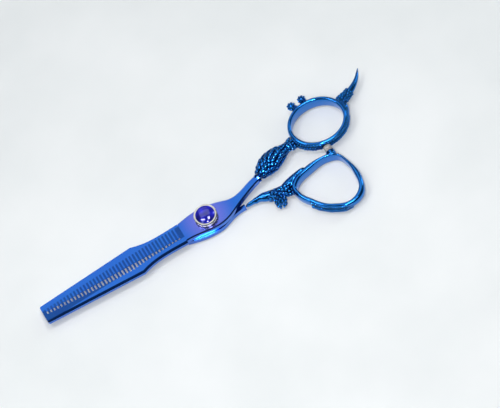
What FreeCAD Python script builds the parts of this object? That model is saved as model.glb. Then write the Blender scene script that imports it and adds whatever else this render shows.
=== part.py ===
import FreeCAD, Part
import math
import os

# Thinning shears, right-handed, modelled closed.
# Millimetres. The origin is on the pivot axis, at the back face of the pivot nut.
# +X runs to the handles, +Y to the finger ring's side, +Z out of the dial's face.

V = FreeCAD.Vector
UP = V(0, 0, 1)

# ---- driving dimensions -------------------------------------------------------
# pivot stack, from the back up
nut_flange_t = 0.7          # flange of the nut behind the smooth blade
lower_t = 2.6               # smooth blade
ride_washer_t = 0.3         # washer that keeps the two blades apart
upper_t = 2.8               # toothed blade at the pivot
head_washer_t = 0.25        # slip washer under the dial
spring_t = 0.35             # spring washer under the dial
bezel_h = 1.7               # dial
stone_rise = 1.2            # stone above the dial's rim

# round pieces about the pivot
screw_r = 2.0
sleeve_r = 3.0              # bushing in the toothed blade
nut_barrel_r = 3.1
nut_flange_r = 4.4
nut_back_t = 0.4            # closed back of the nut's blind thread
spanner_hole_r = 0.5        # two blind holes for a pin spanner
spanner_reach = 3.3         # from the axis to each of them
bezel_r = 5.0
bezel_floor_t = 0.6
stone_r = 4.2
ride_washer_r = 4.6
head_washer_r = 4.7
spring_r = 4.2
knurl_count = 36
knurl_depth = 0.18
run_gap = 0.05              # radial running clearance at every bore
seat_gap = 0.03             # radial clearance of pieces that are set in place
screw_end_gap = 0.2         # under the screw's end in the nut

# blades
bolster_front = 12.0        # from the pivot to the front of the bolster
heel_length = 2.4           # from the bolster to the first slot
tooth_count = 40
tooth_pitch = 1.615
slot_w = 0.78
tip_length = 2.0            # from the last slot to the blade's end
crest_drop = 0.4            # the blade's outer face lies this much below the bolster
tooth_edge_t = 0.7          # thickness left at the tooth tips
crest_w = 6.6               # from the tooth tips to the crest of the slope
spine_bevel = 0.9
edge_t = 0.25               # thickness left at the smooth blade's edge
bolster_bevel = 0.5

# handles
handle_reach = 61.4         # from the pivot to the finger ring's centre
finger_ring_y = 12.5
finger_bore_x = 11.3        # half axes of the finger ring's opening
finger_bore_y = 9.4
finger_ring_lean = 7.0      # degrees
ring_wall = 2.0
ring_round = 0.8
finger_far = (0.0, 7.2)     # heights of the finger ring's lower and upper rim on its far side
finger_near = (2.9, 6.4)    # and on the side next to the thumb ring
thumb_far = (0.0, 6.4)      # the same for the thumb ring
thumb_near = (1.6, 5.6)
tall = 9.0                  # taller than either ring and either blade
stop_z = 4.5                # height of the bumper's axis
collar_x = 26.4             # where the shank meets the cast handle
collar_t = 1.2
shank_half = 1.45           # half the shank's width at the collar
bulb_h = 7.6
neck_gap = 3.7              # from the end of the neck to the finger ring
thumb_ring_x = 51.8         # centre of the thumb ring's opening
ring_spacing = 16.47        # from the finger ring's near side to that centre
thumb_weld_x = 16.6         # where the thumb shank meets its cast handle
closed_gap = 0.3            # bumper to finger ring when the shears are shut
bumper_r = 1.7
bumper_l = 2.6
bumper_x = 59.0
boss_r = 2.1
stud_r = 0.8
bumper_stud_l = 1.8
rest_root_r = 1.9
rest_length = 15.0
rest_angle = 25.0           # degrees round the finger ring to the rest's seat
rest_sink = 0.25            # the seat is milled this deep into the ring
rest_stud_r = 1.0
rest_stud_l = 1.4

# ---- levels and places worked out from them -----------------------------------
lower_z = nut_flange_t
lower_top = lower_z + lower_t
upper_z = lower_top + ride_washer_t
upper_top = upper_z + upper_t
crest_z = upper_top - crest_drop
dial_z = upper_top + head_washer_t + spring_t
rim_z = dial_z + bezel_h
first_slot = -(bolster_front + heel_length)
last_slot = first_slot - (tooth_count - 1) * tooth_pitch
blade_end = last_slot - tip_length
blade_run = -blade_end - bolster_front
finger_centre = V(handle_reach, finger_ring_y, 0)
shank_dir = V(1, 0.34, 0).normalize()
shank_side = UP.cross(shank_dir)
shank_end = V(collar_x, 3.78, 0)
bulb_mid = bulb_h / 2
ring_a = finger_bore_x + ring_wall      # outer half axes of the finger ring
ring_b = finger_bore_y + ring_wall
lean_turn = math.radians(finger_ring_lean)
finger_bottom = finger_ring_y - math.hypot(ring_a * math.sin(lean_turn),
                                           ring_b * math.cos(lean_turn))
thumb_ring_y = finger_bottom - ring_spacing
neck_length = (handle_reach - ring_a - neck_gap - collar_x) / shank_dir.x


def spline(points):
    curve = Part.BSplineCurve()
    curve.interpolate([V(*p) for p in points])
    return curve.toShape()


def line(a, b):
    return Part.makeLine(V(*a), V(*b))


def prism(edges, z, height):
    """A closed outline at height z, raised by height."""
    wire = Part.Wire(Part.__sortEdges__(edges))
    face = Part.Face(wire)
    face.translate(V(0, 0, z))
    return face.extrude(V(0, 0, height))


def disc(r, z, height, x=0.0, y=0.0):
    return Part.makeCylinder(r, height, V(x, y, z))


def tube(r_out, r_in, z, height):
    return disc(r_out, z, height).cut(disc(r_in, z - 1, height + 2))


def one_solid(shape):
    shape = shape.removeSplitter()
    return shape.Solids[0] if len(shape.Solids) == 1 else shape


def bevel_edges(shape, size, wanted):
    edges = [e for e in shape.Edges if wanted(e)]
    return shape.makeChamfer(size, edges) if edges else shape


def along(share):
    """x of a station on the blade, as a share of the run from bolster to end."""
    return -bolster_front - share * blade_run


def loft(sections):
    """Ellipses (centre, direction, half width across, half height) joined in order."""
    wires = []
    for centre, direction, across, high in sections:
        forward = V(*direction).normalize()
        side = UP.cross(forward).normalize()
        lift = forward.cross(side)
        major, minor = (side, lift) if across >= high else (lift, side)
        mid = V(*centre)
        curve = Part.Circle(mid, forward, across)
        if across != high:
            curve = Part.Ellipse(mid + major * max(across, high),
                                 mid + minor * min(across, high), mid)
        wires.append(Part.Wire([curve.toShape()]))
    return Part.makeLoft(wires, True, False)


# ---- blades -------------------------------------------------------------------
tip_y = 2.0                 # tooth tips at the blade's end
heel_y = 3.95               # tooth tips at the bolster
tip_sag = 0.45              # how far the tip line bows outwards between them
spine = [(0.0, 5.55), (0.145, 5.35), (0.225, 5.7), (0.325, 7.35)]   # share, distance
spine_end_y = 4.75
nose_y = 1.4                # inner corner of the blunt end
nose_cut = 1.4
edge_heel_y = -0.7          # smooth blade's edge at the bolster
edge_tip_y = 1.4
edge_crest_w = 5.4          # from the smooth edge to the crest of its slope
root_line = [(0.0, 2.55), (0.27, 3.3), (0.375, 4.15), (0.62, 3.0), (1.0, 0.8)]


def spine_edges(side, z=0.0):
    """The spine on side +1 or -1: curved up to the hip, then straight."""
    points = [(along(s), side * d, z) for s, d in spine]
    end = (blade_end + 0.3 * nose_cut, side * spine_end_y, z)
    return [spline(points), line(points[-1], end)], points[0], end


def tip_line():
    a = V(-bolster_front, heel_y, 0)
    b = V(blade_end + nose_cut, tip_y, 0)
    middle = (a + b) * 0.5 + V(0, tip_sag, 0)
    return Part.Arc(a, middle, b).toShape(), a, b


def slot_root(share):
    for (s0, d0), (s1, d1) in zip(root_line, root_line[1:]):
        if share <= s1:
            return -(d0 + (d1 - d0) * (share - s0) / (s1 - s0))
    return -root_line[-1][1]


def slots():
    cutters = []
    for i in range(tooth_count):
        x = first_slot - i * tooth_pitch
        share = (-x - bolster_front) / blade_run
        root = slot_root(share) + slot_w / 2
        block = Part.makeBox(slot_w, heel_y + 3 - root, upper_t + 2,
                             V(x - slot_w / 2, root, upper_z - 1))
        end = disc(slot_w / 2, upper_z - 1, upper_t + 2, x, root)
        cutters.append(block.fuse(end))
    return Part.makeCompound(cutters)


def slope_cutter(edge_y0, edge_y1, side, face_z, edge_high, crest_high, width):
    """Wedge that thins a blade from its crest to its edge; side is the edge's side."""
    over = 2 * upper_t
    rise = crest_high - edge_high
    ends = []
    for x, y in ((-bolster_front, edge_y0), (blade_end - 2, edge_y1)):
        low = face_z + (edge_high if face_z == upper_z else -edge_high)
        grow = 1 if face_z == upper_z else -1
        pts = [V(x, y + side * over, low - grow * rise * over / width),
               V(x, y - side * (width + over), low + grow * rise * (width + over) / width),
               V(x, y - side * (width + over), low + grow * (rise + tall)),
               V(x, y + side * over, low + grow * (rise + tall))]
        ends.append(Part.makePolygon(pts + pts[:1]))
    return Part.makeLoft(ends, True, True)


def top_shank():
    """Bolster and shank of the toothed blade, from above."""
    upper = [(-bolster_front, 4.1, 0), (-9.2, 4.6, 0), (-5.5, 5.15, 0), (-1.5, 5.25, 0),
             (4.2, 4.5, 0), (7.6, 3.55, 0), (11, 2.35, 0), (13.6, 1.95, 0),
             (19.2, 3.1, 0), tuple(shank_end + shank_side * shank_half)]
    lower = [(-bolster_front, -5.0, 0), (-3.8, -5.75, 0), (1.5, -6.4, 0), (5.4, -6.2, 0),
             (9.7, -4.9, 0), (13, -3.3, 0), (19.4, -0.35, 0),
             tuple(shank_end - shank_side * shank_half)]
    return [spline(upper), line(upper[-1], lower[-1]), spline(lower),
            line(lower[0], upper[0])]


def toothed_blade():
    side, heel, end = spine_edges(-1)
    tips, tips_a, tips_b = tip_line()
    nose = (blade_end, nose_y, 0)
    outline = side + [line(end, (blade_end, -spine_end_y + 0.5, 0)),
                      line((blade_end, -spine_end_y + 0.5, 0), nose),
                      line(nose, tuple(tips_b)), tips, line(tuple(tips_a), heel)]
    blade = prism(outline, upper_z, crest_z - upper_z)
    blade = bevel_edges(blade, spine_bevel, lambda e: on_spine(e, -1, crest_z))
    wedge = slope_cutter(heel_y, tip_y, 1, upper_z, tooth_edge_t, crest_z - upper_z, crest_w)
    blade = blade.cut(wedge).cut(slots())
    shank = prism(top_shank(), upper_z, upper_t)
    shank = bevel_edges(shank, bolster_bevel, lambda e: e.BoundBox.ZMin > upper_top - 0.01
                        and e.BoundBox.XLength > 20)
    whole = blade.fuse(shank)
    return one_solid(whole.cut(disc(sleeve_r + seat_gap, upper_z - 1, upper_t + 2)))


def on_spine(edge, side, z):
    box = edge.BoundBox
    flat = abs(box.ZMin - z) < 0.01 and abs(box.ZMax - z) < 0.01
    return flat and side * box.Center.y > 4.8 and box.XLength > 5


def thumb_shank():
    """Bolster and shank of the smooth blade, from above."""
    upper = [(-bolster_front, 4.95, 0), (-6, 5.6, 0), (0, 5.7, 0), (4.6, 4.6, 0),
             (8.4, 1.6, 0), (11.6, -1.3, 0), (thumb_weld_x, -2.3, 0)]
    lower = [(-bolster_front, -4.4, 0), (-6, -6.1, 0), (0.5, -6.9, 0), (5.0, -6.5, 0),
             (9.5, -4.9, 0), (12.8, -4.1, 0), (thumb_weld_x, -4.0, 0)]
    return [spline(upper), line(upper[-1], lower[-1]), spline(lower),
            line(lower[0], upper[0])]


def smooth_blade():
    side, heel, end = spine_edges(1)
    edge_a = (-bolster_front, edge_heel_y, 0)
    edge_b = (blade_end, edge_tip_y, 0)
    corner = (blade_end, spine_end_y - 0.5, 0)
    outline = side + [line(end, corner), line(corner, edge_b), line(edge_b, edge_a),
                      line(edge_a, heel)]
    blade = prism(outline, lower_z, lower_t)
    blade = bevel_edges(blade, spine_bevel, lambda e: on_spine(e, 1, lower_z))
    wedge = slope_cutter(edge_heel_y, edge_tip_y, -1, lower_top, edge_t, lower_t,
                         edge_crest_w)
    blade = blade.cut(wedge)
    shank = prism(thumb_shank(), lower_z, lower_t)
    whole = blade.fuse(shank)
    return one_solid(whole.cut(disc(nut_barrel_r + seat_gap, lower_z - 1, lower_t + 2)))


# ---- pivot --------------------------------------------------------------------
def pivot_nut():
    flange = disc(nut_flange_r, 0, nut_flange_t)
    barrel = disc(nut_barrel_r, 0, lower_top)
    body = flange.fuse(barrel).cut(disc(screw_r + run_gap, nut_back_t, lower_top))
    for side in (-1, 1):
        body = body.cut(disc(spanner_hole_r, -1, 1 + nut_back_t, side * spanner_reach))
    return one_solid(body)


def pivot_screw():
    low = nut_back_t + screw_end_gap
    shank = disc(screw_r, low, dial_z + bezel_floor_t - low)
    tip = [e for e in shank.Edges if abs(e.BoundBox.ZMax - low) < 0.01]
    return shank.makeChamfer(0.3, tip)


def pivot_bushing():
    return tube(sleeve_r, screw_r + run_gap, upper_z, upper_t)


def ride_washer():
    return tube(ride_washer_r, screw_r + run_gap, lower_top, ride_washer_t)


def head_washer():
    return tube(head_washer_r, screw_r + run_gap, upper_top, head_washer_t)


def spring_washer():
    """Three-lobed spring washer, pressed flat."""
    ring = tube(spring_r, screw_r + 4 * run_gap, upper_top + head_washer_t, spring_t)
    for i in range(3):
        turn = math.radians(120 * i + 60)
        ring = ring.cut(disc(1.0, upper_top, 2, spring_r * math.cos(turn) * 1.12,
                             spring_r * math.sin(turn) * 1.12))
    return one_solid(ring)


def dial_bezel():
    cup = disc(bezel_r, dial_z, bezel_h)
    rim = [e for e in cup.Edges if abs(e.BoundBox.ZMin - rim_z) < 0.01
           and e.BoundBox.XLength > bezel_r]
    cup = cup.makeChamfer(0.3, rim)
    cup = cup.cut(disc(stone_r + seat_gap, dial_z + bezel_floor_t, bezel_h))
    cup = cup.cut(disc(screw_r, dial_z - 1, bezel_h))
    grooves = []
    for i in range(knurl_count):
        turn = 2 * math.pi * i / knurl_count
        reach = bezel_r + knurl_depth
        grooves.append(disc(2 * knurl_depth, dial_z + 0.3, bezel_h - 0.8,
                            reach * math.cos(turn), reach * math.sin(turn)))
    return one_solid(cup.cut(Part.makeCompound(grooves)))


def dial_stone():
    """Domed round stone: a flat-backed girdle under a spherical cap."""
    base_z = dial_z + bezel_floor_t
    girdle = rim_z - base_z
    cap_r = (stone_r ** 2 + stone_rise ** 2) / (2 * stone_rise)
    ball = Part.makeSphere(cap_r, V(0, 0, rim_z + stone_rise - cap_r))
    body = disc(stone_r, base_z, girdle + stone_rise)
    return one_solid(body.common(ball))


# ---- finger handle ------------------------------------------------------------


def on_axis(s):
    """Point on the cast handle's axis, s past the end of the shank."""
    p = shank_end + shank_dir * s
    return (p.x, p.y, bulb_mid)


def finger_collar():
    lift = (upper_z + upper_top) / 2
    a, b = V(*on_axis(0)), V(*on_axis(collar_t))
    band = loft([((a.x, a.y, lift), shank_dir, 1.75, 1.6),
                 ((b.x, b.y, lift), shank_dir, 2.1, 1.9)])
    return one_solid(band)


def sloped_slab(near_y, near, far_y, far):
    """Space between two planes that slope along Y, as wide as the shears are long."""
    corners = [V(0, near_y, near[0]), V(0, far_y, far[0]), V(0, far_y, far[1]),
               V(0, near_y, near[1])]
    face = Part.Face(Part.makePolygon(corners + corners[:1]))
    return face.extrude(V(2 * handle_reach, 0, 0))


def level(y, near_y, near, far_y, far):
    """Mid height of a ring at y."""
    share = (y - near_y) / (far_y - near_y)
    return (sum(near) + (sum(far) - sum(near)) * share) / 2


def finger_span():
    return finger_ring_y - ring_b, finger_near, finger_ring_y + ring_b, finger_far


def thumb_span():
    return thumb_ring_y - thumb_low, thumb_near, thumb_ring_y + thumb_high, thumb_far


def widened(span, over=3.0):
    """The same sloping space, carried on past both ends."""
    near_y, near, far_y, far = span
    grow = over / (far_y - near_y)
    low = [n - (f - n) * grow for n, f in zip(near, far)]
    high = [f + (f - n) * grow for n, f in zip(near, far)]
    return near_y - over, low, far_y + over, high


def finger_ring_solid():
    outer = Part.Ellipse(V(0, 0, 0), ring_a, ring_b)
    inner = Part.Ellipse(V(0, 0, 0), finger_bore_x, finger_bore_y)
    ring = prism([outer.toShape()], -1, tall).cut(prism([inner.toShape()], -2, tall + 2))
    ring.rotate(V(0, 0, 0), UP, -finger_ring_lean)
    ring.translate(finger_centre)
    ring = ring.common(sloped_slab(*widened(finger_span())))
    return ring.makeFillet(ring_round, [e for e in ring.Edges if e.BoundBox.XLength > 5])


# share of the neck, sideways offset, half across, half high
bulb_sections = [(0.16, 1.2, 3.3, 3.0), (0.32, 1.8, 4.6, 3.6), (0.50, 1.5, 5.1, 3.8),
                 (0.68, 1.0, 4.4, 3.4), (0.86, 0.4, 2.9, 2.7), (1.0, 0.2, 2.2, 2.3)]
ring_buttons = [(112, 1.9, 2.1), (92, 1.8, 1.6)]       # degrees, radius, stand-off
button_lift = 2.0           # above the ring's middle
button_stem_r = 1.2


def finger_handle():
    start_z = (upper_z + upper_top) / 2
    first = V(*on_axis(collar_t))
    sections = [((first.x, first.y, start_z), shank_dir, 2.1, 1.9)]
    for share, off, across, high in bulb_sections:
        spot = V(*on_axis(collar_t + share * (neck_length - collar_t))) + shank_side * off
        sections.append((tuple(spot), shank_dir, across, high))
    join = finger_centre + V(-finger_bore_x - ring_wall * 0.4, -2.2, 0)
    join.z = level(join.y, *finger_span())
    sections.append((tuple(join), (1, 0.1, 0), 3.4, 2.1))
    body = loft(sections)
    hollow = Part.Ellipse(V(0, 0, 0), finger_bore_x + 0.6, finger_bore_y + 0.6)
    plug = prism([hollow.toShape()], -2, tall + 2)
    plug.rotate(V(0, 0, 0), UP, -finger_ring_lean)
    plug.translate(finger_centre)
    whole = body.cut(plug).fuse(finger_ring_solid())
    for turn, r, off in ring_buttons:
        a = math.radians(turn)
        foot = finger_centre + V((ring_a - ring_wall / 2) * math.cos(a),
                                 (ring_b - ring_wall / 2) * math.sin(a), 0)
        foot.z = level(foot.y, *finger_span())
        spot = finger_centre + V((ring_a + off) * math.cos(a), (ring_b + off) * math.sin(a),
                                 foot.z + button_lift)
        stem = Part.makeCylinder(button_stem_r, (spot - foot).Length, foot, spot - foot)
        button = stem.fuse(Part.makeSphere(r, spot)).cut(plug)
        whole = whole.fuse(button)
    root, out = rest_root()
    bore = Part.makeCylinder(rest_stud_r + run_gap, rest_stud_l + rest_root_r,
                             root - out * (rest_stud_l + run_gap), out)
    seat = Part.makeCylinder(rest_root_r + rest_sink, 2 * rest_root_r, root, out)
    return one_solid(whole.cut(seat).cut(bore))


def rest_root():
    """Middle of the rest's milled seat on the ring, and the direction it faces."""
    turn, lean = math.radians(rest_angle), FreeCAD.Rotation(UP, -finger_ring_lean)
    out = lean.multVec(V(math.cos(turn) / ring_a, math.sin(turn) / ring_b, 0)).normalize()
    rim = lean.multVec(V(ring_a * math.cos(turn), ring_b * math.sin(turn), 0))
    root = finger_centre + rim - out * rest_sink
    root.z = level(root.y, *finger_span())
    return root, out


# share of the length along X, rise along Y, size, heading in degrees
rest_sections = [(0.30, 0.10, 0.97, 21), (0.55, 0.22, 0.82, 31), (0.80, 0.425, 0.46, 47),
                 (1.0, 0.705, 0.12, 60)]


def finger_rest():
    base, out = rest_root()
    sections = [(tuple(base), out, rest_root_r, rest_root_r)]
    for reach, rise, size, turn in rest_sections:
        a = math.radians(turn)
        spot = base + V(reach, rise, 0) * rest_length
        lean = V(math.cos(a), math.sin(a), 0)
        sections.append((tuple(spot), lean, size * rest_root_r, size * rest_root_r))
    horn = loft(sections)
    stud = Part.makeCylinder(rest_stud_r, rest_stud_l + rest_stud_r, base - out * rest_stud_l,
                             out)
    return one_solid(horn.fuse(stud))


# ---- thumb handle -------------------------------------------------------------
# outlines about the ring's centre
thumb_inner = [(-12.8, 6.2), (-3.7, 10.3), (4.4, 11.1), (8.4, 9.4), (10.3, 4.6), (10.5, -1.6),
               (8.8, -8.3), (3.4, -11.3), (-3.6, -8.9), (-9.5, -2.6), (-12.7, 3.2)]
thumb_outer = [(-15.0, 7.6), (-7.5, 12.1), (1.6, 12.9), (8.6, 11.0), (11.9, 4.0), (12.6, -5.0),
               (9.5, -11.6), (2.5, -13.6), (-5.0, -10.4), (-11.4, -3.6), (-14.9, 3.0)]


thumb_low = -min(y for x, y in thumb_outer)
thumb_high = max(y for x, y in thumb_outer)


def closed_outline(points, grow=0.0):
    pts = []
    for x, y in points:
        size = math.hypot(x, y)
        k = (size + grow) / size
        pts.append(V(thumb_ring_x + x * k, thumb_ring_y + y * k, 0))
    curve = Part.BSplineCurve()
    curve.interpolate(pts, PeriodicFlag=True)
    return [curve.toShape()]


def thumb_ring_solid():
    ring = prism(closed_outline(thumb_outer), -1, tall)
    ring = ring.cut(prism(closed_outline(thumb_inner), -2, tall + 2))
    return ring.common(sloped_slab(*widened(thumb_span())))


def bumper_seat_y():
    return finger_bottom - closed_gap - bumper_l


# share of the arm, offset along Y, half across, half high, heading in degrees
arm_sections = [(0.0, 0.0, 0.85, 1.3, 0), (0.17, 0.8, 0.9, 1.5, -2), (0.35, 1.3, 1.7, 2.2, -14),
                (0.48, 0.9, 2.3, 2.5, -20), (0.65, 0.6, 2.5, 2.8, -14),
                (0.82, 0.7, 2.8, 2.8, -12), (1.0, 0.2, 3.1, 2.3, -4)]
tuft_share, tuft_drop = 0.66, 0.8
tuft_r, tuft_end_r, tuft_length = 2.3, 1.1, 5.4


def thumb_handle():
    low_mid = lower_z + lower_t / 2
    ring_left = V(thumb_ring_x - 13.8, thumb_ring_y + 7.6, 0)
    ring_left.z = level(ring_left.y, *thumb_span())
    a = V(thumb_weld_x, -3.15, low_mid)
    span = ring_left - a
    sections = []
    for share, off, across, high, turn in arm_sections:
        spot = a + span * share + V(0, off, 0)
        t = math.radians(turn)
        sections.append((tuple(spot), (math.cos(t), math.sin(t), 0), across, high))
    arm = loft(sections)
    hollow = prism(closed_outline(thumb_inner, 0.5), -2, tall + 2)
    whole = arm.cut(hollow).fuse(thumb_ring_solid())
    tuft_top = a + span * tuft_share - V(0, tuft_drop, 0)
    tuft = Part.makeCone(tuft_r, tuft_end_r, tuft_length, tuft_top, V(-0.1, -1, 0))
    whole = whole.fuse(tuft)
    bore = Part.makeCylinder(stud_r + seat_gap, bumper_stud_l + 1.0,
                             V(bumper_x, bumper_seat_y() - bumper_stud_l - 0.2, stop_z),
                             V(0, 1, 0))
    boss_low = thumb_ring_y + 10.5
    boss = Part.makeCylinder(boss_r, bumper_seat_y() - boss_low,
                             V(bumper_x, boss_low, stop_z), V(0, 1, 0))
    return one_solid(whole.fuse(boss.cut(hollow)).cut(bore))


def bumper_pad():
    """Soft stop with its own stud pushed into the boss."""
    seat = bumper_seat_y()
    pad = Part.makeCylinder(bumper_r, bumper_l, V(bumper_x, seat, stop_z), V(0, 1, 0))
    rim = [e for e in pad.Edges if e.BoundBox.YLength < 0.01 and e.BoundBox.YMin > seat + 1]
    pad = pad.makeFillet(0.35, rim)
    stud = Part.makeCylinder(stud_r, bumper_stud_l,
                             V(bumper_x, seat - bumper_stud_l, stop_z), V(0, 1, 0))
    return one_solid(pad.fuse(stud))


pieces = {
    "toothed_blade": toothed_blade,
    "smooth_blade": smooth_blade,
    "pivot_nut": pivot_nut,
    "pivot_screw": pivot_screw,
    "pivot_bushing": pivot_bushing,
    "ride_washer": ride_washer,
    "head_washer": head_washer,
    "spring_washer": spring_washer,
    "dial_bezel": dial_bezel,
    "dial_stone": dial_stone,
    "finger_collar": finger_collar,
    "finger_handle": finger_handle,
    "finger_rest": finger_rest,
    "thumb_handle": thumb_handle,
    "bumper_pad": bumper_pad,
}

os.makedirs("parts", exist_ok=True)
for name, make in pieces.items():
    solid = make()
    print(name, "solids", len(solid.Solids), "valid", solid.isValid(), "volume",
          round(solid.Volume, 1))
    solid.exportStep(os.path.join("parts", name + ".step"))
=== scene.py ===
import functools
import math
import random

import bpy
from bpy.props import FloatProperty, FloatVectorProperty, IntProperty, PointerProperty
from mathutils import Matrix, Vector


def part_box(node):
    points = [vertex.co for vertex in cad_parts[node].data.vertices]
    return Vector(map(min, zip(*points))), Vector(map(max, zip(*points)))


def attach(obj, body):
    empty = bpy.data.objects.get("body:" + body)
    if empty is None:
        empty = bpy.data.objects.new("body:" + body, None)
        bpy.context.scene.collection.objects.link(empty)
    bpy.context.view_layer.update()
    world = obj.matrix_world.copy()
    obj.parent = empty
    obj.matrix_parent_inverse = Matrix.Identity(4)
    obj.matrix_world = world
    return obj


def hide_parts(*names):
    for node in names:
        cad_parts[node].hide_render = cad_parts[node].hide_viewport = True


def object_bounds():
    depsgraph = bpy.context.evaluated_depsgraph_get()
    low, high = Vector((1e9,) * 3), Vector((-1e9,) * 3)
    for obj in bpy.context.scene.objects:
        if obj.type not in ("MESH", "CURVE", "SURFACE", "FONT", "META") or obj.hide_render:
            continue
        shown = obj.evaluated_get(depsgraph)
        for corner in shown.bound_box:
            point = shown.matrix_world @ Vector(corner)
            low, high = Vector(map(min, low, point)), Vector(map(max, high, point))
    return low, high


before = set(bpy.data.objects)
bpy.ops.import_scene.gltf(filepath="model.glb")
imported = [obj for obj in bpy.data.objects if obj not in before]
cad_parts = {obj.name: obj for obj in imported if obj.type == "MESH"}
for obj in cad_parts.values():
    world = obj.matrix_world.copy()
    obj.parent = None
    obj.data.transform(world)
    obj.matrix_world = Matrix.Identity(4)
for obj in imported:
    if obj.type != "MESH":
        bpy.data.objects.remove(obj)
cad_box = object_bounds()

bl_info = {
    "name": "Thinning Shears",
    "version": (1, 0, 0),
    "blender": (4, 5, 0),
    "location": "3D View > Sidebar > Shears",
    "description": "Dresses a packed pair of thinning shears with cast handles, coatings and a studio",
    "category": "Object",
}

MM = 0.001
UP = Vector((0, 0, 1))


# ---- colour and nodes ----------------------------------------------------------
def linear(hex_colour):
    """sRGB hex to a linear RGBA colour."""
    channels = [int(hex_colour[i:i + 2], 16) / 255 for i in (1, 3, 5)]
    straight = [c / 12.92 if c <= 0.04045 else ((c + 0.055) / 1.055) ** 2.4 for c in channels]
    return (*straight, 1.0)


def add_node(tree, kind, links=None, **settings):
    """Adds a node, sets its inputs or properties by name, and links its inputs."""
    made = tree.nodes.new(kind)
    for name, value in settings.items():
        if hasattr(made, name):
            setattr(made, name, value)
        else:
            made.inputs[name.replace("_", " ")].default_value = value
    for name, source in (links or {}).items():
        tree.links.new(source, made.inputs[name])
    return made


def new_material(name):
    """An empty material, with its node tree, shader and Object coordinates."""
    material = bpy.data.materials.new(name)
    material.use_nodes = True
    tree = material.node_tree
    tree.nodes.clear()
    shader = add_node(tree, "ShaderNodeBsdfPrincipled")
    add_node(tree, "ShaderNodeOutputMaterial", {"Surface": shader.outputs[0]})
    place = add_node(tree, "ShaderNodeTexCoord").outputs["Object"]
    return material, tree, shader, place


def set_shader(tree, shader, **values):
    """Sets the shader's sockets by name, each to a value or to another node's output."""
    for name, value in values.items():
        socket = shader.inputs[name.replace("_", " ")]
        if isinstance(value, bpy.types.NodeSocket):
            tree.links.new(value, socket)
        else:
            socket.default_value = value


def noise_between(tree, place, size, low, high):
    """Noise with features of the given size in metres, spread from low to high."""
    noise = add_node(tree, "ShaderNodeTexNoise", {"Vector": place}, Scale=1 / size, Detail=3.0)
    return add_node(tree, "ShaderNodeMapRange", {"Value": noise.outputs["Fac"]},
                    From_Min=0.35, From_Max=0.65, To_Min=low, To_Max=high).outputs[0]


# ---- settings ------------------------------------------------------------------
class ShearsColours(bpy.types.PropertyGroup):
    blade: FloatVectorProperty(
        name="Blade coating", description="Blue of the coated blades", subtype="COLOR",
        size=4, default=linear("#2a6fd0"), min=0, max=1)
    ride_face: FloatVectorProperty(
        name="Pivot tint", description="Violet shift of the coating about the pivot",
        subtype="COLOR", size=4, default=linear("#8078dc"), min=0, max=1)
    cast: FloatVectorProperty(
        name="Handle coating", description="Blue of the coated castings", subtype="COLOR",
        size=4, default=linear("#1d74c8"), min=0, max=1)
    # painted shade: the dark colour mixed in where ambient occlusion finds hollows
    cast_painted_shade: FloatVectorProperty(
        name="Handle hollows", description="Painted shade in the hollows of the castings",
        subtype="COLOR", size=4, default=linear("#041440"), min=0, max=1)
    glass: FloatVectorProperty(
        name="Stone", description="Colour of the glass stone", subtype="COLOR",
        size=4, default=linear("#2322d8"), min=0, max=1)
    silver: FloatVectorProperty(
        name="Dial", description="Colour of the plated dial", subtype="COLOR",
        size=4, default=linear("#e9e4dc"), min=0, max=1)
    stop: FloatVectorProperty(
        name="Stop", description="Colour of the soft stop", subtype="COLOR",
        size=4, default=linear("#b4b2b0"), min=0, max=1)


class ShearsSizes(bpy.types.PropertyGroup):
    finger_bore_x: FloatProperty(
        name="Finger opening, long", description="Half the finger opening's long axis",
        default=11.3 * MM, unit="LENGTH")
    finger_bore_y: FloatProperty(
        name="Finger opening, short", description="Half the finger opening's short axis",
        default=9.4 * MM, unit="LENGTH")
    ring_wall: FloatProperty(
        name="Ring wall", description="Thickness of the finger ring's wall",
        default=2.0 * MM, unit="LENGTH")
    bulb_width: FloatProperty(
        name="Bulb", description="Half the width of the bulb over its scales",
        default=4.4 * MM, unit="LENGTH")
    scale_length: FloatProperty(
        name="Scale", description="Length of one cast scale", default=2.1 * MM, unit="LENGTH")
    remesh: FloatProperty(
        name="Casting grain", description="Voxel size that melts a casting's bodies together",
        default=0.19 * MM, unit="LENGTH")
    seed: IntProperty(name="Seed", description="Seed of the scales' unevenness", default=7)


def colours():
    """The colours set in the panel."""
    return bpy.context.scene.shears_colours


def sizes():
    """The sizes set in the panel."""
    return bpy.context.scene.shears_sizes


# ---- materials -----------------------------------------------------------------
LAP_SPACING = 0.25 * MM     # lapping marks, drawn this coarse so that they show
LAP_LENGTH = 6.25 * MM
CAST_COATING = "blue_coated_casting"


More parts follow.
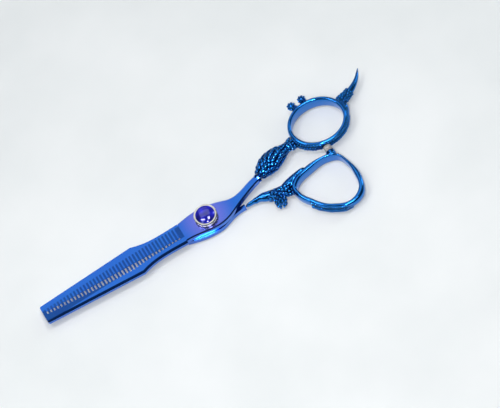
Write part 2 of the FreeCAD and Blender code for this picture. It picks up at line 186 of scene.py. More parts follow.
def blade_coating():
    """Vapour-deposited titanium coating on mirror-ground blade steel: a clear blue mirror
    that shifts towards violet on the flat about the pivot."""
    material, tree, shader, place = new_material("blue_coated_blade_steel")
    near = add_node(tree, "ShaderNodeVectorMath", {0: place}, operation="LENGTH")
    reach = add_node(tree, "ShaderNodeMapRange", {"Value": near.outputs["Value"]},
                     interpolation_type="SMOOTHSTEP", From_Min=5 * MM, From_Max=15 * MM,
                     To_Min=0.85, To_Max=0.0)
    drift = noise_between(tree, place, 9 * MM, 0.0, 1.0)
    base = add_node(tree, "ShaderNodeMix", {"Factor": drift}, data_type="RGBA",
                    A=linear("#2a69cf"), B=tuple(colours().blade))
    height = add_node(tree, "ShaderNodeSeparateXYZ", {"Vector": place})
    top = add_node(tree, "ShaderNodeMapRange", {"Value": height.outputs["Z"]},
                   From_Min=5.9 * MM, From_Max=6.35 * MM)
    share = add_node(tree, "ShaderNodeMath", {0: reach.outputs[0], 1: top.outputs[0]},
                     operation="MULTIPLY")
    tint = add_node(tree, "ShaderNodeMix",
                    {"Factor": share.outputs[0], "A": base.outputs["Result"]},
                    data_type="RGBA", B=tuple(colours().ride_face))
    lines = add_node(tree, "ShaderNodeMapping", {"Vector": place},
                     Scale=(1 / LAP_SPACING, 1 / LAP_LENGTH, 1 / LAP_LENGTH))
    laps = add_node(tree, "ShaderNodeTexNoise", {"Vector": lines.outputs[0]}, Scale=1.0,
                    Detail=2.0)
    grain = add_node(tree, "ShaderNodeMapRange", {"Value": laps.outputs["Fac"]},
                     To_Min=0.1, To_Max=0.2)
    bump = add_node(tree, "ShaderNodeBump", {"Height": laps.outputs["Fac"]}, Strength=0.35,
                    Distance=0.004 * MM)
    set_shader(tree, shader, Base_Color=tint.outputs["Result"], Roughness=grain.outputs[0],
               Normal=bump.outputs[0], Metallic=1.0, Coat_Weight=0.25, Coat_Roughness=0.06)
    return material


def cast_coating():
    """The same coating on polished castings, cyan where it glints, with painted shade: ambient
    occlusion darkens the colour in the hollows.
    """
    material, tree, shader, place = new_material(CAST_COATING)
    # painted shade: ambient occlusion mixes the base towards the dark colour in creases and between
    # scales
    painted_shade_ao = add_node(tree, "ShaderNodeAmbientOcclusion", samples=6, Distance=0.9 * MM)
    edge = add_node(tree, "ShaderNodeMapRange", {"Value": painted_shade_ao.outputs["AO"]},
                    From_Min=0.35, From_Max=0.9, To_Min=0.0, To_Max=1.0)
    base = add_node(tree, "ShaderNodeMix", {"Factor": edge.outputs[0]}, data_type="RGBA",
                    A=tuple(colours().cast_painted_shade), B=tuple(colours().cast))
    wear = noise_between(tree, place, 1.6 * MM, 0.09, 0.2)
    pits = add_node(tree, "ShaderNodeTexNoise", {"Vector": place}, Scale=1 / (0.7 * MM),
                    Detail=2.0)
    bump = add_node(tree, "ShaderNodeBump", {"Height": pits.outputs["Fac"]}, Strength=0.3,
                    Distance=0.03 * MM)
    set_shader(tree, shader, Base_Color=base.outputs["Result"], Roughness=wear,
               Normal=bump.outputs[0], Metallic=1.0, Coat_Weight=0.2, Coat_Roughness=0.05)
    return material


def dial_plating():
    """Nickel plating on a turned dial: bright, slightly warm, with fine turning rings."""
    material, tree, shader, place = new_material("polished_nickel_plate")
    drift = noise_between(tree, place, 1.5 * MM, 0.0, 1.0)
    base = add_node(tree, "ShaderNodeMix", {"Factor": drift}, data_type="RGBA",
                    A=linear("#d8d2c8"), B=tuple(colours().silver))
    rings = add_node(tree, "ShaderNodeTexWave", {"Vector": place}, wave_type="RINGS",
                     rings_direction="Z", Scale=1 / (1.2 * MM), Distortion=0.4)
    bump = add_node(tree, "ShaderNodeBump", {"Height": rings.outputs["Fac"]}, Strength=0.2,
                    Distance=0.01 * MM)
    wear = noise_between(tree, place, 0.8 * MM, 0.12, 0.26)
    set_shader(tree, shader, Base_Color=base.outputs["Result"], Roughness=wear,
               Normal=bump.outputs[0], Metallic=1.0)
    return material


def foiled_glass():
    """Domed glass over a blue foil: deep cobalt body, bright polished face, and a faint painted glow
    for light thrown back by the foil.
    """
    material, tree, shader, place = new_material("foil_backed_cobalt_glass")
    facets = add_node(tree, "ShaderNodeTexVoronoi", {"Vector": place}, Scale=1 / (3.2 * MM),
                      feature="SMOOTH_F1", Smoothness=0.8)
    tone = add_node(tree, "ShaderNodeMapRange", {"Value": facets.outputs["Distance"]},
                    From_Min=0.1, From_Max=0.7)
    base = add_node(tree, "ShaderNodeMix", {"Factor": tone.outputs[0]}, data_type="RGBA",
                    A=tuple(colours().glass), B=linear("#0c0c6a"))
    # painted light: faint blue emission, stronger on the lighter facets, stands in for light thrown
    # back by the foil
    painted_foil_glow = add_node(tree, "ShaderNodeMix", {"Factor": tone.outputs[0]}, data_type="RGBA",
                    A=linear("#2a2af0"), B=linear("#050530"))
    set_shader(tree, shader, Base_Color=base.outputs["Result"], Roughness=0.04, IOR=1.52,
               Metallic=0.25, Coat_Weight=1.0, Coat_Roughness=0.01, Coat_IOR=1.6,
               Emission_Color=painted_foil_glow.outputs["Result"], Emission_Strength=0.18)
    return material


def turned_steel(name, dark, light, rough_low, rough_high):
    """Turned or rolled bare metal: concentric cutting marks about the pivot axis."""
    material, tree, shader, place = new_material(name)
    rings = add_node(tree, "ShaderNodeTexWave", {"Vector": place}, wave_type="RINGS",
                     rings_direction="Z", Scale=1 / (0.9 * MM), Distortion=0.6)
    base = add_node(tree, "ShaderNodeMix", {"Factor": rings.outputs["Fac"]}, data_type="RGBA",
                    A=linear(dark), B=linear(light))
    bump = add_node(tree, "ShaderNodeBump", {"Height": rings.outputs["Fac"]}, Strength=0.3,
                    Distance=0.01 * MM)
    wear = noise_between(tree, place, 0.9 * MM, rough_low, rough_high)
    set_shader(tree, shader, Base_Color=base.outputs["Result"], Roughness=wear,
               Normal=bump.outputs[0], Metallic=1.0)
    return material


def soft_stuff(name, dark, light, rough, grain):
    """Moulded silicone or slip polymer: dull, faintly mottled, with a matt skin."""
    material, tree, shader, place = new_material(name)
    mottle = noise_between(tree, place, grain, 0.0, 1.0)
    base = add_node(tree, "ShaderNodeMix", {"Factor": mottle}, data_type="RGBA",
                    A=linear(dark), B=linear(light))
    fine = add_node(tree, "ShaderNodeTexNoise", {"Vector": place}, Scale=1 / (grain / 4))
    bump = add_node(tree, "ShaderNodeBump", {"Height": fine.outputs["Fac"]}, Strength=0.3,
                    Distance=0.02 * MM)
    set_shader(tree, shader, Base_Color=base.outputs["Result"], Roughness=rough,
               Normal=bump.outputs[0], IOR=1.43, Subsurface_Weight=0.15,
               Subsurface_Scale=0.6 * MM)
    return material


# ---- modelling helpers ---------------------------------------------------------
MELT_PASSES = 5             # rounds of smoothing after a casting's bodies are melted
ROUNDED_END = 0.42          # share of a ball's width that goes into a tube's rounded end
CAST_EDGE = 50              # degrees, past which an edge stays sharp on a casting
STONE_EDGE = 40
SCALE_RELIEF = 0.46         # height of a scale as a share of its length


def deselect():
    """Leaves edit mode and selects nothing."""
    if bpy.context.object and bpy.context.object.mode != "OBJECT":
        bpy.ops.object.mode_set(mode="OBJECT")
    bpy.ops.object.select_all(action="DESELECT")


def pick(*objects):
    """Selects only these objects, the last of them active."""
    deselect()
    for o in objects:
        o.select_set(True)
    bpy.context.view_layer.objects.active = objects[-1]


def named(name):
    """Names the object that an operator has just made."""
    made = bpy.context.object
    made.name = made.data.name = name
    return made


def apply_modifier(obj, kind, **settings):
    """Adds a modifier with its settings and applies it."""
    pick(obj)
    modifier = obj.modifiers.new(kind, kind)
    for key, value in settings.items():
        setattr(modifier, key, value)
    bpy.ops.object.modifier_apply(modifier=modifier.name)


def outward(obj):
    """Points every face outwards, with all of the mesh selected in edit mode."""
    pick(obj)
    bpy.ops.object.mode_set(mode="EDIT")
    bpy.ops.mesh.select_all(action="SELECT")
    bpy.ops.mesh.normals_make_consistent(inside=False)
    bpy.ops.object.mode_set(mode="OBJECT")


def shaped_ball(name, around, rows, place):
    """A ball drawn out into a closed body by place(t, turn, fullness): t runs from pole
    to pole, and fullness is the ball's own half width there."""
    deselect()
    bpy.ops.mesh.primitive_uv_sphere_add(segments=around, ring_count=rows, radius=1)
    body = named(name)
    for v in body.data.vertices:
        t = math.acos(max(-1.0, min(1.0, -v.co.z))) / math.pi
        v.co = place(t, math.atan2(v.co.y, v.co.x), math.hypot(v.co.x, v.co.y))
    outward(body)
    return body


def shaped_ring(name, around, across, place):
    """A torus drawn out into a closed band; place(turn, section turn)."""
    deselect()
    bpy.ops.mesh.primitive_torus_add(major_segments=around, minor_segments=across,
                                     major_radius=3, minor_radius=1)
    band = named(name)
    for v in band.data.vertices:
        turn = math.atan2(v.co.y, v.co.x)
        section = math.atan2(v.co.z, math.hypot(v.co.x, v.co.y) - 3)
        v.co = place(turn, section)
    outward(band)
    return band


def join(name, pieces):
    """Joins pieces into the last of them."""
    pick(*pieces)
    bpy.ops.object.join()
    return named(name)


def melt(body, voxel):
    """Melts overlapping bodies into one skin and rounds the valleys, as in a casting."""
    apply_modifier(body, "REMESH", mode="VOXEL", voxel_size=voxel)
    apply_modifier(body, "SMOOTH", factor=0.5, iterations=MELT_PASSES)
    return body


def smooth_shade(obj, degrees):
    """Shades smooth, with edges sharper than this left sharp."""
    pick(obj)
    bpy.ops.object.shade_smooth_by_angle(angle=math.radians(degrees))


def through(points, t):
    """Smooth curve through (t, value...) rows; returns the values at t."""
    rows = [(row[0], Vector(row[1:]) if len(row) > 2 else row[1]) for row in points]
    last = len(rows) - 1
    i = next((k for k in range(last) if t <= rows[k + 1][0]), last - 1)

    def slope(k):
        a, b = rows[max(k - 1, 0)], rows[min(k + 1, last)]
        return (b[1] - a[1]) * (1 / (b[0] - a[0]))

    (t0, p0), (t1, p1) = rows[i], rows[i + 1]
    span = t1 - t0
    s = max(0.0, min(1.0, (t - t0) / span))
    h0, h1 = 2 * s ** 3 - 3 * s ** 2 + 1, s ** 3 - 2 * s ** 2 + s
    h2, h3 = -2 * s ** 3 + 3 * s ** 2, s ** 3 - s ** 2
    return p0 * h0 + slope(i) * (h1 * span) + p1 * h2 + slope(i + 1) * (h3 * span)


def squarer(value, power):
    """A sine or cosine flattened towards a square corner."""
    return math.copysign(abs(value) ** power, value)


def one_scale():
    """One cast scale, 1 long and 1 wide, lying along +X with a pointed, lifted tip."""
    deselect()
    bpy.ops.mesh.primitive_uv_sphere_add(segments=8, ring_count=5, radius=0.5)
    scale = named("scale_pattern")
    for v in scale.data.vertices:
        point = 0.5 + v.co.x
        v.co.y *= 1.0 - 0.55 * point ** 2
        ridge = 1.0 - 1.4 * abs(v.co.y)
        v.co.z = v.co.z * (0.55 + 0.5 * ridge) + 0.34 * point
    return scale


def lay_scales(pattern, places):
    """Copies of the scale at (spot, forward, normal, length, width, height)."""
    made = []
    for spot, forward, normal, length, width, height in places:
        side = normal.cross(forward).normalized()
        ahead = side.cross(normal).normalized()
        turn = Matrix((ahead * length, side * width, normal * height)).transposed()
        mesh = pattern.data.copy()
        mesh.transform(Matrix.Translation(spot) @ turn.to_4x4())
        copy = bpy.data.objects.new("scale", mesh)
        bpy.context.collection.objects.link(copy)
        made.append(copy)
    return made


def tube_place(centre, half):
    """place() for shaped_ball: a tube about centre(t) with half sizes half(t)."""
    def place(t, turn, fullness):
        here = centre(t)
        ahead = (centre(min(t + 0.01, 1)) - centre(max(t - 0.01, 0))).normalized()
        side = UP.cross(ahead).normalized()
        lift = ahead.cross(side)
        across, high = half(t)
        cap = min(1.0, fullness / ROUNDED_END)
        cap = math.sqrt(max(0.0, 1 - (1 - cap) ** 2))
        return here + (side * across * math.cos(turn) + lift * high * math.sin(turn)) * cap
    return place


def mid_of(low, high):
    """Half way between two values."""
    return (low + high) / 2


# ---- places taken from the frame -----------------------------------------------
RING_LEAN = math.radians(7)     # turn of the finger ring's long axis
RING_DEPTH = 22.8 * MM          # the finger ring, from its near side to its far side
FINGER_FOOT = 2.9               # its lower rim at the near side, mm; the far side is at 0
FINGER_RIM = 6.4                # its upper rim at the near side, mm
FINGER_RIM_RISE = 0.8           # how much higher the upper rim is at the far side, mm
STOP_GAP = 0.3 * MM             # between the soft stop and the finger ring


@functools.cache
def box_of(node):
    """Lowest and highest corner of a node at rest, measured once."""
    low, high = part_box(node)
    return Vector(low), Vector(high)


@functools.cache
def finger_centre():
    """Centre of the finger ring: the casting's far end is one half axis past it."""
    low, high = box_of("finger_handle")
    s = sizes()
    a, b = s.finger_bore_x + s.ring_wall, s.finger_bore_y + s.ring_wall
    reach = math.hypot(a * math.cos(RING_LEAN), b * math.sin(RING_LEAN))
    drop = math.hypot(a * math.sin(RING_LEAN), b * math.cos(RING_LEAN))
    stop = box_of("bumper_pad")[1]
    return Vector((high.x - reach, stop.y + STOP_GAP + drop, 0))


def finger_level(y):
    """Lower and upper rim of the finger ring at y."""
    centre = finger_centre().y
    share = (y - centre) / RING_DEPTH + 0.5
    low = FINGER_FOOT - FINGER_FOOT * share
    high = FINGER_RIM + FINGER_RIM_RISE * share
    return low * MM, high * MM


# ---- finger handle ---------------------------------------------------------------
BULB_LENGTH = 19 * MM
BULB_MIDDLE = 3.9 * MM          # height of the bulb's axis
BUTTONS = ((112, 1.85, 2.1), (92, 1.75, 1.6))     # degrees, radius and stand-off in mm
BUTTON_LIFT = 2.0 * MM


def finger_band(turn, section):
    """Point on the finger ring's skin, at a turn round it and a turn round its section."""
    s = sizes()
    centre = finger_centre()
    x, y = s.finger_bore_x * math.cos(turn), s.finger_bore_y * math.sin(turn)
    normal = Vector((x / s.finger_bore_x ** 2, y / s.finger_bore_y ** 2, 0)).normalized()
    spot = Vector((x, y, 0))
    half = s.ring_wall / 2
    out = squarer(math.cos(section), 0.8 if math.cos(section) > 0 else 0.45)
    spot += normal * half * (1 + out)
    spot.rotate(Matrix.Rotation(-RING_LEAN, 3, "Z"))
    spot += centre
    low, high = finger_level(spot.y)
    mid, rise = mid_of(low, high), (high - low) / 2
    spot.z = mid + rise * squarer(math.sin(section), 0.7)
    return spot


def bulb_line():
    """Axis of the bulb and neck, from the collar to the ring."""
    low, high = box_of("finger_collar")
    start = Vector((high.x - 0.6 * MM, mid_of(low.y, high.y) + 0.3 * MM, mid_of(low.z, high.z)))
    ahead = Vector((1, 0.34, 0)).normalized()
    ring = finger_centre()
    end = ring + Vector((-sizes().finger_bore_x - 0.8 * MM, -1.7 * MM, 0))
    end.z = 4.1 * MM
    rows = [(0.0, *start)]
    side = UP.cross(ahead)
    for share, off in ((0.2, 0.6), (0.4, 0.9), (0.6, 0.8), (0.8, 0.5)):
        spot = start + ahead * BULB_LENGTH * share + side * off * MM
        spot.z = start.z + (BULB_MIDDLE - start.z) * min(1, share * 2.2)
        rows.append((share * 0.86, *spot))
    rows.append((1.0, *end))
    return rows


def bulb_half(t):
    """Half width and half height of the bulb and neck under their scales."""
    wide = sizes().bulb_width - 0.35 * MM
    rows = [(0.0, 0.38), (0.1, 0.62), (0.25, 0.92), (0.40, 1.0), (0.55, 0.88), (0.70, 0.60),
            (0.82, 0.48), (0.92, 0.66), (1.0, 0.52)]
    across = wide * through(rows, t)
    return across, across * through([(0.0, 0.9), (0.4, 0.8), (0.8, 0.95), (1.0, 0.55)], t)


def scale_rows(centre, half, span, rows, length, width, grow, chance, relief=SCALE_RELIEF):
    """Staggered rows of scales round a stretch of a tube, each tilted off the skin."""
    t_from, t_to = span
    places = []
    for row in range(rows):
        share = row / (rows - 1)
        t = t_from + (t_to - t_from) * share
        here = centre(t)
        ahead = (centre(min(t + 0.01, 1)) - centre(max(t - 0.01, 0))).normalized()
        side = UP.cross(ahead).normalized()
        lift = ahead.cross(side)
        across, high = half(t)
        size = 1 + grow * share
        girth = math.pi * (across + high)
        count = max(5, round(girth / (width * size * 0.94)))
        for k in range(count):
            turn = 2 * math.pi * (k + 0.5 * (row % 2)) / count + chance.uniform(-0.05, 0.05)
            out = side * across * math.cos(turn) + lift * high * math.sin(turn)
            normal = (side * math.cos(turn) / across + lift * math.sin(turn) / high)
            slope = (half(min(t + 0.02, 1))[0] - half(max(t - 0.02, 0))[0]) / (
                (centre(min(t + 0.02, 1)) - centre(max(t - 0.02, 0))).length)
            normal = (normal.normalized() - ahead * slope).normalized()
            step = size * chance.uniform(0.9, 1.12)
            places.append((here + out * 0.985, ahead, normal, length * step,
                           width * step, relief * length * step))
    return places


def finger_casting():
    """Bulb, neck, web and ring melted into one casting, then scales and buttons on it."""
    s = sizes()
    chance = random.Random(s.seed)
    line = bulb_line()

    def centre(t):
        return through(line, t)

    bulb = shaped_ball("bulb", 40, 40, tube_place(centre, bulb_half))
    band = shaped_ring("band", 160, 24, finger_band)
    root_rows = [(0.0, *(finger_band(math.radians(34), 0.0))),
                 (0.5, *(finger_band(math.radians(12), 0.0) + Vector((0.4 * MM, 0, 0)))),
                 (1.0, *(finger_band(math.radians(-12), 0.0)))]
    root = shaped_ball("root", 20, 24, tube_place(
        lambda t: through(root_rows, t), lambda t: ((0.6 + 0.8 * math.sin(math.pi * t)) * MM,
                                                    (1.0 + 1.2 * math.sin(math.pi * t)) * MM)))
    stems = []
    for turn, r, off in BUTTONS:
        foot, spot = finger_band(math.radians(turn), math.pi), button_spot(turn, off)
        stems.append(shaped_ball("stem", 16, 12, tube_place(
            lambda t, a=foot, b=spot: a.lerp(b, 0.3 + 0.7 * t),
            lambda t: ((2.0 - 0.9 * t) * MM, (2.0 - 0.9 * t) * MM))))
    casting = melt(join("finger_casting", [bulb, root, *stems, band]), s.remesh)
    pattern = one_scale()
    extra = lay_scales(pattern, scale_rows(centre, bulb_half, (0.07, 0.62), 9, s.scale_length,
                                           1.9 * MM, 0.35, chance))
    extra += lay_scales(pattern, scale_rows(centre, bulb_half, (0.66, 0.93), 6, 1.7 * MM,
                                            1.5 * MM, -0.1, chance))
    extra += lay_scales(pattern, band_scales(finger_band, -165, 30, 36, chance))
    extra += buttons()
    casting = join("finger_casting", [*extra, casting])
    bpy.data.objects.remove(pattern)
    smooth_shade(casting, CAST_EDGE)
    return casting


def band_scales(band, first, last, count, chance):
    """Three staggered lines of small scales along the outside of a ring."""
    places = []
    for lane, section in enumerate((-0.75, 0.0, 0.75)):
        for k in range(count):
            share = (k + 0.5 * (lane % 2)) / count
            turn = math.radians(first + (last - first) * share)
            spot = band(turn, section)
            ahead = (band(turn + 0.02, section) - band(turn - 0.02, section)).normalized()
            rise = (band(turn, section + 0.05) - band(turn, section - 0.05)).normalized()
            normal = ahead.cross(rise).normalized()
            if normal.dot(spot - band(turn, math.pi)) < 0:
                normal.negate()
            step = chance.uniform(0.9, 1.15)
            places.append((spot + normal * 0.05 * MM, ahead, normal, 1.55 * MM * step,
                           1.3 * MM * step, 0.95 * MM * step))
    return places


def button_spot(turn, off):
    """Centre of a button, standing off the finger ring and above its middle."""
    s, a = sizes(), math.radians(turn)
    spot = finger_centre() + Vector(((s.finger_bore_x + s.ring_wall + off * MM) * math.cos(a),
                                     (s.finger_bore_y + s.ring_wall + off * MM) * math.sin(a),
                                     0))
    spot.z = mid_of(*finger_level(spot.y)) + BUTTON_LIFT
    return spot


def ball(name, around, rows, centre, r):
    """A plain ball of radius r, to be melted or set into a casting."""
    return shaped_ball(name, around, rows, lambda t, a, f: centre + Vector(
        (f * math.cos(a), f * math.sin(a), -math.cos(math.pi * t))) * r)


def buttons():
    """Two small cast buttons on the ring, each a ball with a crown of beads."""
    made = []
    for turn, r, off in BUTTONS:
        spot = button_spot(turn, off)
        made.append(ball("button", 28, 18, spot, (r - 0.1) * MM))
        for ring, count in ((0.35, 8), (0.8, 5)):
            for k in range(count):
                a = 2 * math.pi * (k + ring) / count
                flat = math.sqrt(1 - ring ** 2)
                out = Vector((math.cos(a) * flat, math.sin(a) * flat, ring))
                made.append(ball("bead", 10, 8, spot + out * (r - 0.22) * MM, 0.5 * MM))
    return made


# ---- finger rest -----------------------------------------------------------------
def rest_line():
    """Centre line of the curved rest, fitted between its seat and its point."""
    high = box_of("finger_rest")[1]
    seat = finger_band(math.radians(25), 0.0)
    tip = Vector((high.x - 0.3 * MM, high.y - 0.4 * MM, seat.z))
    reach = tip - seat
    rows = []
    for t, along, rise in ((0.0, 0.0, 0.0), (0.3, 0.30, 0.14), (0.55, 0.55, 0.31),
                           (0.8, 0.80, 0.60), (1.0, 1.0, 1.0)):
        rows.append((t, seat.x + reach.x * along, seat.y + reach.y * rise, seat.z))
    return rows


def rest_half(t):
    """Half width and half height of the rest, from its thick root to its point."""
    size = 1.9 * MM * through([(0.0, 0.95), (0.3, 0.86), (0.55, 0.72), (0.8, 0.44),
                               (1.0, 0.12)], t)
    return size, size * 0.95


def finger_rest():
    """Smooth pointed horn on a scaled root."""
    s = sizes()
    chance = random.Random(s.seed + 1)
    line = rest_line()

    def centre(t):
        return through(line, t)

    horn = shaped_ball("finger_rest_horn", 28, 60, tube_place(centre, rest_half))
    pattern = one_scale()
    extra = lay_scales(pattern, scale_rows(centre, rest_half, (0.03, 0.40), 6, 1.7 * MM,
                                           1.3 * MM, -0.2, chance, relief=0.75))
    horn = join("finger_rest_horn", [*extra, horn])
    bpy.data.objects.remove(pattern)
    smooth_shade(horn, CAST_EDGE)
    return horn


# ---- thumb handle ----------------------------------------------------------------
# outlines about the ring's centre, mm
THUMB_INNER = [(-12.8, 6.2), (-3.7, 10.3), (4.4, 11.1), (8.4, 9.4), (10.3, 4.6), (10.5, -1.6),
               (8.8, -8.3), (3.4, -11.3), (-3.6, -8.9), (-9.5, -2.6), (-12.7, 3.2)]
THUMB_OUTER = [(-15.0, 7.6), (-7.5, 12.1), (1.6, 12.9), (8.6, 11.0), (11.9, 4.0), (12.6, -5.0),
               (9.5, -11.6), (2.5, -13.6), (-5.0, -10.4), (-11.4, -3.6), (-14.9, 3.0)]


THUMB_FAR_END = 12.7 * MM       # from the thumb ring's centre to its far end
THUMB_NEAR_SIDE = 13.6 * MM     # and to its near side
THUMB_DEPTH = 26.5 * MM         # the thumb ring, from its near side to its far side
THUMB_FOOT = 1.6                # its lower rim at the near side, mm; the far side is at 0
THUMB_RIM = 5.6                 # its upper rim at the near side, mm
THUMB_RIM_RISE = 0.8            # how much higher the upper rim is at the far side, mm


@functools.cache
def thumb_centre():
    """Centre of the thumb ring, from the casting's far end and near side."""
    low, high = box_of("thumb_handle")
    return Vector((high.x - THUMB_FAR_END, low.y + THUMB_NEAR_SIDE, 0))


def outline_radius(points):
    """Distance from the centre to a closed outline, as a function of the direction."""
    rows = sorted((math.atan2(y, x), math.hypot(x, y) * MM) for x, y in points)
    wrapped = [(a - 2 * math.pi, r) for a, r in rows] + rows + [
        (a + 2 * math.pi, r) for a, r in rows]
    return lambda turn: through(wrapped, turn)


def thumb_level(y):
    """Lower and upper rim of the thumb ring at y."""
    centre = thumb_centre().y
    share = (y - (centre - THUMB_NEAR_SIDE)) / THUMB_DEPTH
    low = THUMB_FOOT - THUMB_FOOT * share
    high = THUMB_RIM + THUMB_RIM_RISE * share
    return low * MM, high * MM


def thumb_band_place():
    """place() for shaped_ring: a band between the ring's inner and outer outline."""
    inner, outer = outline_radius(THUMB_INNER), outline_radius(THUMB_OUTER)
    centre = thumb_centre()

    def place(turn, section):
        a, b = inner(turn), outer(turn)
        out = squarer(math.cos(section), 0.8 if math.cos(section) > 0 else 0.45)
        reach = (a + b) / 2 + (b - a) / 2 * out
        spot = centre + Vector((math.cos(turn), math.sin(turn), 0)) * reach
        low, high = thumb_level(spot.y)
        spot.z = mid_of(low, high) + (high - low) / 2 * squarer(math.sin(section), 0.7)
        return spot
    return place


def arm_line():
    """Centre line of the thumb arm, from the blade's shank to the ring."""
    low, high = box_of("smooth_blade")
    start = Vector((high.x, -3.15 * MM, mid_of(low.z, high.z)))
    end = thumb_centre() + Vector((-13.8 * MM, 7.6 * MM, 0))
    end.z = mid_of(*thumb_level(end.y))
    rows = []
    for t, off in ((0.0, 0.0), (0.17, 0.8), (0.35, 1.3), (0.48, 0.9), (0.65, 0.6), (0.82, 0.7),
                   (1.0, 0.2)):
        rows.append((t, *(start.lerp(end, t) + Vector((0, off * MM, 0)))))
    return rows


def arm_half(t):
    """Half width and half height of the arm and its knot."""
    across = through([(0.0, 0.85), (0.17, 0.95), (0.30, 1.35), (0.40, 2.0), (0.52, 2.2),
                      (0.68, 2.3), (0.84, 2.5), (1.0, 2.9)], t) * MM
    high = through([(0.0, 1.3), (0.2, 1.5), (0.4, 2.2), (0.6, 2.5), (0.82, 2.5),
                    (1.0, 2.1)], t) * MM
    return across, high


def tuft_line():
    """Centre line of the tuft that hangs from the knot."""
    line = arm_line()
    top = through(line, 0.66)
    foot = top + Vector((-0.9, -6.0, 0)) * MM
    return [(0.0, *top), (0.5, *(top.lerp(foot, 0.55) + Vector((0.3 * MM, 0, 0)))), (1.0, *foot)]


def tuft_half(t):
    """Half width and half height of the tuft."""
    size = through([(0.0, 2.2), (0.5, 1.9), (0.85, 1.7), (1.0, 1.3)], t) * MM
    return size, size


def thumb_casting():
    """Arm, knot, tuft, ring and the stop's boss melted into one casting, then scales."""
    s = sizes()
    chance = random.Random(s.seed + 2)
    line, tuft = arm_line(), tuft_line()
    place = thumb_band_place()

    def centre(t):
        return through(line, t)

    def tuft_centre(t):
        return through(tuft, t)

    arm = shaped_ball("arm", 36, 48, tube_place(centre, arm_half))
    knob = ball("knob", 16, 12, centre(0.24), 1.45 * MM)
    clump = shaped_ball("clump", 24, 20, tube_place(tuft_centre, tuft_half))
    band = shaped_ring("band", 180, 24, place)
    low, high = box_of("bumper_pad")
    boss_top = Vector((mid_of(low.x, high.x), high.y - 2.6 * MM, mid_of(low.z, high.z)))
    boss_foot = boss_top + Vector((0, -2.6 * MM, 0))
    boss = shaped_ball("boss", 28, 14, tube_place(
        lambda t: boss_foot.lerp(boss_top, t), lambda t: (2.05 * MM, 2.05 * MM)))
    web_rows = [(0.0, *centre(0.70)), (0.5, *(centre(0.93) + Vector((1.2, 2.4, 0)) * MM)),
                (1.0, *place(math.radians(114), 0.6))]
    web = shaped_ball("web", 24, 30, tube_place(
        lambda t: through(web_rows, t),
        lambda t: ((0.7 + 1.5 * math.sin(math.pi * t)) * MM, (2.4 - 0.9 * t) * MM)))
    casting = melt(join("thumb_casting", [arm, knob, clump, boss, web, band]), s.remesh)
    pattern = one_scale()
    knot = scale_rows(centre, arm_half, (0.52, 0.97), 8, s.scale_length, 1.7 * MM, -0.1,
                      chance)
    extra = lay_scales(pattern, [row for row in knot if row[2].y < 0.45])
    extra += lay_scales(pattern, scale_rows(tuft_centre, tuft_half, (0.25, 0.97), 5, 1.9 * MM,
                                            1.6 * MM, -0.1, chance, relief=0.8))
    extra += lay_scales(pattern, band_scales(place, -162, -75, 20, chance))
    casting = join("thumb_casting", [*extra, casting])
    bpy.data.objects.remove(pattern)
    smooth_shade(casting, CAST_EDGE)
    return casting


# ---- stone -----------------------------------------------------------------------
def stone_dome():
    """Polished glass dome with a straight girdle in the dial."""
    low, high = box_of("dial_stone")
    r = (high.x - low.x) / 2
    rim = high.z - 1.2 * MM

    def place(t, turn, fullness):
        reach = r * min(1.0, fullness * 1.02)
        if t < 0.5:
            z = low.z + (rim - low.z) * max(0.0, (t - 0.35) / 0.15)
            reach = r if t > 0.35 else r * t / 0.35
        else:
            z = rim + (high.z - rim) * math.sqrt(max(0.0, 1 - (reach / r) ** 2))
        return Vector((reach * math.cos(turn), reach * math.sin(turn), z))

    dome = shaped_ball("glass_stone", 96, 48, place)
    smooth_shade(dome, STONE_EDGE)
    return dome


# ---- operators -------------------------------------------------------------------
def dress(node, material):
    """Gives a node of the frame its material."""
    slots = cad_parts[node].material_slots
    for slot in slots:
        slot.material = material
    if not slots:
        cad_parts[node].data.materials.append(material)


def keep_in_box(piece):
    """Scale tips that reach past the construction's box are pressed back to its faces."""
    low, high = cad_box
    for v in piece.data.vertices:
        v.co = [min(max(c, a), b) for c, a, b in zip(v.co, low, high)]


def finish_piece(piece, material, body, slot, *nodes):
    """Gives a modelled piece its material and body, and the nodes it stands for; the slot argument is
    not used.
    """
    keep_in_box(piece)
    piece.data.materials.clear()
    piece.data.materials.append(material)
    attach(piece, body)
    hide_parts(*nodes)


class ShearsBlades(bpy.types.Operator):
    """Coats both blades and the collar"""
    bl_idname = "shears.blades"
    bl_label = "Coat the blades"

    def execute(self, context):
        coating = blade_coating()
        for node in ("toothed_blade", "smooth_blade", "finger_collar"):
            dress(node, coating)
        return {"FINISHED"}


class ShearsPivot(bpy.types.Operator):
    """Finishes the dial, its stone and the pieces of the pivot"""
    bl_idname = "shears.pivot"
    bl_label = "Finish the pivot"

    def execute(self, context):
        dress("dial_bezel", dial_plating())
        dress("pivot_screw", turned_steel("turned_screw_steel", "#8d8e90", "#b9babc", 0.2, 0.35))
        dress("pivot_nut", turned_steel("turned_nut_steel", "#7f8184", "#b0b2b5", 0.22, 0.4))
        dress("spring_washer", turned_steel("tempered_spring_steel", "#56585c", "#85878b",
                                            0.25, 0.4))
        dress("pivot_bushing", turned_steel("bearing_bronze", "#8a6230", "#c49a58", 0.3, 0.45))
        slip = soft_stuff("slip_polymer_sheet", "#cfcdc6", "#e2e0da", 0.5, 1.2 * MM)
        dress("ride_washer", slip)
        dress("head_washer", slip)
        finish_piece(stone_dome(), foiled_glass(), "tension_screw", "cobalt_glass",
                     "dial_stone")
        return {"FINISHED"}


class ShearsFingerHandle(bpy.types.Operator):
    """Models the scaled finger handle and its curved rest"""
    bl_idname = "shears.finger_handle"
    bl_label = "Model the finger handle"

    def execute(self, context):
        coating = cast_coating()
        finish_piece(finger_casting(), coating, "finger_half", "blue_cast_steel",
                     "finger_handle")
        finish_piece(finger_rest(), coating, "finger_half", "blue_cast_steel", "finger_rest")
        return {"FINISHED"}


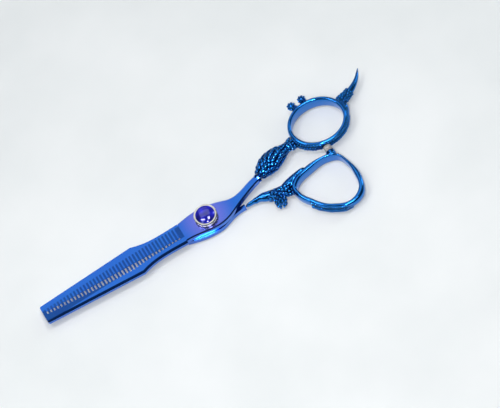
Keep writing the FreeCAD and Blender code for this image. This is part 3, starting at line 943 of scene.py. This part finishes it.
class ShearsThumbHandle(bpy.types.Operator):
    """Models the scaled thumb handle and finishes its soft stop"""
    bl_idname = "shears.thumb_handle"
    bl_label = "Model the thumb handle"

    def execute(self, context):
        coating = bpy.data.materials.get(CAST_COATING) or cast_coating()
        finish_piece(thumb_casting(), coating, "thumb_half", "blue_cast_steel",
                     "thumb_handle")
        dress("bumper_pad", soft_stuff("moulded_silicone", "#8e8c8c", "#c4c0be", 0.42,
                                       0.9 * MM))
        return {"FINISHED"}


class ShearsStage(bpy.types.Operator):
    """Lays the floor, hangs the lights and sets the camera"""
    bl_idname = "shears.stage"
    bl_label = "Set the stage"

    def execute(self, context):
        set_camera()
        set_floor()
        set_lights()
        return {"FINISHED"}


def set_camera():
    """Long lens, 62 degrees above the blades' plane, rolled so that they lie aslant."""
    heading, height, roll = math.radians(81.5), math.radians(62.4), math.radians(23.0)
    ahead = Vector((math.cos(heading) * math.cos(height), math.sin(heading) * math.cos(height),
                    -math.sin(height)))
    level_right = ahead.cross(UP).normalized()
    level_up = level_right.cross(ahead)
    right = level_right * math.cos(roll) - level_up * math.sin(roll)
    up = level_up * math.cos(roll) + level_right * math.sin(roll)
    aim = Vector((18.5, -5.3, 6.4)) * MM
    distance = 1456 * MM
    data = bpy.data.cameras.new("camera")
    data.lens = 250
    data.sensor_width = 36
    data.clip_start = 0.01
    camera = bpy.data.objects.new("camera", data)
    bpy.context.collection.objects.link(camera)
    turn = Matrix((right, up, -ahead)).transposed().to_4x4()
    camera.matrix_world = Matrix.Translation(aim - ahead * distance) @ turn
    bpy.context.scene.camera = camera


def set_floor():
    """A pale paper floor just under the shears."""
    deselect()
    bpy.ops.mesh.primitive_plane_add(size=3.0)
    floor = named("floor")
    floor.data.transform(Matrix.Translation((0, 0, cad_box[0][2] - 0.05 * MM)))
    material, tree, shader, place = new_material("pale_paper")
    tone = noise_between(tree, place, 60 * MM, 0.0, 1.0)
    base = add_node(tree, "ShaderNodeMix", {"Factor": tone}, data_type="RGBA",
                    A=linear("#eceded"), B=linear("#f4f4f4"))
    set_shader(tree, shader, Base_Color=base.outputs["Result"], Roughness=0.6)
    floor.data.materials.append(material)


WHITE, COOL, CYAN = (1, 1, 1), (0.93, 0.97, 1), (0.85, 1, 1)
# name, place in metres, width, height, power in watts and colour; all aim at the pivot
LIGHTS = (
    ("key_upright", (-0.193, 0.075, 0.616), 0.10, 0.20, 0.75, WHITE),
    ("key_level", (0.106, -0.010, 0.642), 0.20, 0.10, 0.75, WHITE),
    ("overhead", (0.05, 0.46, 0.80), 0.6, 0.42, 0.75, COOL),
    ("front", (-0.048, -0.32, 0.62), 0.05, 0.05, 2.1, WHITE),
    ("back", (0.06, 0.70, 0.46), 0.5, 0.3, 0.2, COOL),
    ("strip_left", (-0.50, -0.20, 0.50), 0.10, 0.45, 0.7, CYAN),
    ("strip_right", (0.62, 0.10, 0.36), 0.10, 0.45, 0.7, CYAN),
)


def area_light(name, spot, width, height, power, colour):
    """A softbox that the camera doesn't see, aimed at the pivot."""
    data = bpy.data.lights.new(name, "AREA")
    data.shape = "RECTANGLE"
    data.size, data.size_y = width, height
    data.energy = power
    data.color = colour
    lamp = bpy.data.objects.new(name, data)
    bpy.context.collection.objects.link(lamp)
    lamp.location = spot
    lamp.visible_camera = False
    lamp.rotation_euler = (-Vector(spot)).to_track_quat("-Z", "Y").to_euler()


def set_lights():
    """Keys overhead, a broad one across the blades, fills, and strips at both ends."""
    for light in LIGHTS:
        area_light(*light)
    world = bpy.data.worlds.new("studio")
    world.use_nodes = True
    world.node_tree.nodes["Background"].inputs["Color"].default_value = linear("#aab4c0")
    world.node_tree.nodes["Background"].inputs["Strength"].default_value = 0.2
    bpy.context.scene.world = world
    bpy.context.scene.view_settings.view_transform = "Standard"


class ShearsPanel(bpy.types.Panel):
    """Sizes, colours and steps for the thinning shears"""
    bl_idname = "VIEW3D_PT_shears"
    bl_label = "Thinning Shears"
    bl_space_type = "VIEW_3D"
    bl_region_type = "UI"
    bl_category = "Shears"

    def draw(self, context):
        for group in (context.scene.shears_sizes, context.scene.shears_colours):
            for name in group.__annotations__:
                self.layout.prop(group, name)
        for step in STEPS:
            self.layout.operator(step.bl_idname)


STEPS = (ShearsStage, ShearsBlades, ShearsPivot, ShearsFingerHandle, ShearsThumbHandle)
CLASSES = (ShearsColours, ShearsSizes, *STEPS, ShearsPanel)


def register():
    for kind in CLASSES:
        bpy.utils.register_class(kind)
    bpy.types.Scene.shears_colours = PointerProperty(type=ShearsColours)
    bpy.types.Scene.shears_sizes = PointerProperty(type=ShearsSizes)


def unregister():
    del bpy.types.Scene.shears_sizes
    del bpy.types.Scene.shears_colours
    for kind in reversed(CLASSES):
        bpy.utils.unregister_class(kind)


def main():
    register()
    bpy.ops.shears.stage()
    bpy.ops.shears.blades()
    bpy.ops.shears.pivot()
    bpy.ops.shears.finger_handle()
    bpy.ops.shears.thumb_handle()


if __name__ == "__main__":
    main()
